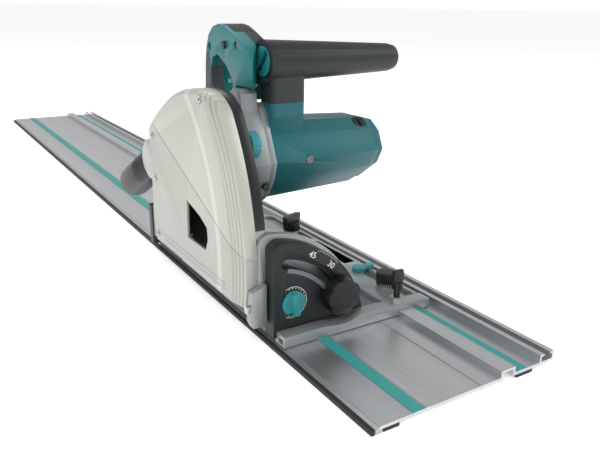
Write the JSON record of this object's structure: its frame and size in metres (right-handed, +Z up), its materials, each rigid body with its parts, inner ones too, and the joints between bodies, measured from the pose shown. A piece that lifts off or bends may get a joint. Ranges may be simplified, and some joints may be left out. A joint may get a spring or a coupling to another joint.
{
  "type": "track plunge saw",
  "caption": "Plunge-cut circular saw with a tilting, hinged head and closed blade case, standing on its long aluminium guide rail.",
  "frame": {"origin": "on the underside of the rail, at its cutting edge, half way along the rail", "axes": "+Z up, Y along the rail with the saw cutting towards -Y, X across the rail from its cutting edge"},
  "size_m": [0.2235, 1.4, 0.2575],
  "materials": {
    "rail_aluminium": "satin anodised",
    "strip_rubber": "matt",
    "glide_plastic": "satin",
    "base_metal": "satin silver paint",
    "cover_metal": "satin silver-cream paint",
    "band_plastic": "satin",
    "quadrant_metal": "satin slate paint",
    "bracket_metal": "satin silver paint",
    "housing_metal": "satin silver paint",
    "teal_plastic": "fine grain",
    "teal_control": "satin",
    "grip_rubber": "fine matt grain",
    "black_plastic": "satin",
    "inlet_rubber": "matt",
    "bright_steel": "satin",
    "blade_steel": "circular grind",
    "key_steel": "bright",
    "carbon": "matt carbon",
    "core_steel": "stacked sheet",
    "copper": "turned",
    "fan_plastic": "plain"
  },
  "bodies": {
    "rail": {"guide_rail": "rail_aluminium", "splinter_strip": "strip_rubber", "glide_strips": "glide_plastic", "grip_strips": "strip_rubber"},
    "base": {"base_plate": "base_metal", "front_quadrant": "quadrant_metal", "rear_quadrant": "quadrant_metal", "quadrant_screws": "bright_steel"},
    "front_rail_knob": {"front_rail_knob": "teal_control"},
    "rear_rail_knob": {"rear_rail_knob": "teal_control"},
    "anti_tip_lever": {"anti_tip_lever": "black_plastic"},
    "fence_screw": {"fence_screw": "black_plastic"},
    "positive_stop_dial": {"positive_stop_dial": "black_plastic"},
    "case": {"blade_case": "cover_metal", "blade_cover": "cover_metal", "depth_band": "band_plastic", "front_tilt_bracket": "bracket_metal", "rear_tilt_bracket": "bracket_metal", "cover_screws": "bright_steel", "clamp_bolts": "bright_steel", "pivot_shaft": "bright_steel", "return_spring": "bright_steel"},
    "front_clamp_knob": {"front_clamp_knob": "black_plastic"},
    "rear_clamp_knob": {"rear_clamp_knob": "black_plastic"},
    "stopper": {"stopper_shoe": "black_plastic"},
    "stopper_knob": {"stopper_knob": "teal_control"},
    "dust_nozzle": {"dust_nozzle": "black_plastic"},
    "head": {"gear_housing": "housing_metal", "bearing_plate": "housing_metal", "motor_housing": "teal_plastic", "handle_left_shell": "teal_plastic", "handle_right_shell": "teal_plastic", "handle_overmould": "grip_rubber", "front_grip": "grip_rubber", "grip_disc": "teal_control", "hex_key": "key_steel", "brush_caps": "black_plastic", "carbon_brushes": "carbon", "field_stator": "core_steel", "armature_bearings": "bright_steel", "spindle_bearings": "bright_steel", "power_switch": "black_plastic", "housing_screws": "bright_steel", "cord_inlet": "inlet_rubber"},
    "trigger": {"trigger": "black_plastic"},
    "lock_off_button": {"lock_off_button": "black_plastic"},
    "speed_dial": {"speed_dial": "black_plastic"},
    "shaft_lock": {"shaft_lock": "teal_control"},
    "plunge_lever": {"plunge_lever": "teal_control"},
    "stop_pin": {"stop_pin": "bright_steel"},
    "blade": {"saw_blade": "blade_steel", "spindle": "bright_steel", "spindle_gear": "bright_steel", "inner_flange": "bright_steel", "outer_flange": "bright_steel", "blade_bolt": "bright_steel"},
    "armature": {"armature_shaft": "bright_steel", "armature_core": "core_steel", "commutator": "copper", "cooling_fan": "fan_plastic"}
  },
  "joints": [
    {"name": "saw_slide", "type": "slide", "parent": "rail", "child": "base", "axis": [0, 1, 0], "range_m": [-0.12, 0.93]},
    {"name": "bevel_tilt", "type": "hinge", "parent": "base", "child": "case", "pos_m": [0, -0.428, 0], "axis": [0, -1, 0], "range_deg": [0, 48]},
    {"name": "plunge", "type": "hinge", "parent": "case", "child": "head", "pos_m": [0.036, -0.318, 0.06], "axis": [1, 0, 0], "range_deg": [0, 35.76], "stiffness_Nm_per_rad": 4.5, "springref_deg": -74.48},
    {"name": "blade_spin", "type": "hinge", "parent": "head", "child": "blade", "pos_m": [0.02, -0.45, 0.115], "axis": [1, 0, 0], "continuous": true},
    {"name": "armature_spin", "type": "hinge", "parent": "head", "child": "armature", "pos_m": [0.1, -0.436, 0.131], "axis": [1, 0, 0], "continuous": true},
    {"name": "trigger_pull", "type": "hinge", "parent": "head", "child": "trigger", "pos_m": [0.045, -0.395, 0.231], "axis": [-1, 0, 0], "range_deg": [0, 5], "stiffness_Nm_per_rad": 0.4, "springref_deg": -17.19},
    {"name": "lock_off_press", "type": "slide", "parent": "head", "child": "lock_off_button", "axis": [1, 0, 0], "range_m": [0, 0.002], "stiffness_N_per_m": 300, "springref_m": -0.004},
    {"name": "speed_dial_turn", "type": "hinge", "parent": "head", "child": "speed_dial", "pos_m": [0.194, -0.436, 0.131], "axis": [1, 0, 0], "range_deg": [0, 300]},
    {"name": "shaft_lock_press", "type": "slide", "parent": "head", "child": "shaft_lock", "axis": [0, 1, 0], "range_m": [0, 0.0025], "stiffness_N_per_m": 400, "springref_m": -0.004},
    {"name": "plunge_lever_press", "type": "hinge", "parent": "head", "child": "plunge_lever", "pos_m": [0.045, -0.424, 0.1926], "axis": [1, 0, 0], "range_deg": [0, 8], "stiffness_Nm_per_rad": 0.1, "springref_deg": -17.19},
    {"name": "stop_pin_pull", "type": "slide", "parent": "head", "child": "stop_pin", "axis": [1, 0, 0], "range_m": [0, 0.0081]},
    {"name": "depth_set", "type": "hinge", "parent": "case", "child": "stopper", "pos_m": [0.006, -0.318, 0.06], "axis": [1, 0, 0], "range_deg": [-14, 0]},
    {"name": "stopper_knob_turn", "type": "hinge", "parent": "stopper", "child": "stopper_knob", "pos_m": [0.012, -0.50738, 0.16283], "axis": [1, 0, 0], "range_deg": [0, 180]},
    {"name": "nozzle_swivel", "type": "hinge", "parent": "case", "child": "dust_nozzle", "pos_m": [-0.008, -0.338, 0.12], "axis": [1, 0, 0], "range_deg": [-10, 60]},
    {"name": "front_clamp_turn", "type": "hinge", "parent": "case", "child": "front_clamp_knob", "pos_m": [0.06462, -0.568, 0.03807], "axis": [0, 1, 0], "range_deg": [0, 180]},
    {"name": "rear_clamp_turn", "type": "hinge", "parent": "case", "child": "rear_clamp_knob", "pos_m": [0.03625, -0.286, 0.02832], "axis": [0, -1, 0], "range_deg": [0, 180]},
    {"name": "front_rail_knob_turn", "type": "hinge", "parent": "base", "child": "front_rail_knob", "pos_m": [0.1485, -0.531, 0.02], "axis": [0, 0, 1], "range_deg": [0, 90]},
    {"name": "rear_rail_knob_turn", "type": "hinge", "parent": "base", "child": "rear_rail_knob", "pos_m": [0.1485, -0.35, 0.02], "axis": [0, 0, 1], "range_deg": [0, 90]},
    {"name": "anti_tip_turn", "type": "hinge", "parent": "base", "child": "anti_tip_lever", "pos_m": [0.147, -0.488, 0.016], "axis": [0, 0, 1], "range_deg": [0, 90]},
    {"name": "fence_screw_turn", "type": "hinge", "parent": "base", "child": "fence_screw", "pos_m": [0.128, -0.5713, 0.03], "axis": [0, 0, 1], "range_deg": [0, 180]},
    {"name": "positive_stop_turn", "type": "hinge", "parent": "base", "child": "positive_stop_dial", "pos_m": [0.0205, -0.568, 0.038], "axis": [0, 1, 0], "range_deg": [0, 90]}
  ],
  "couplings": [
    {"joint": "armature_spin", "follows": "blade_spin", "ratio": -4}
  ]
}
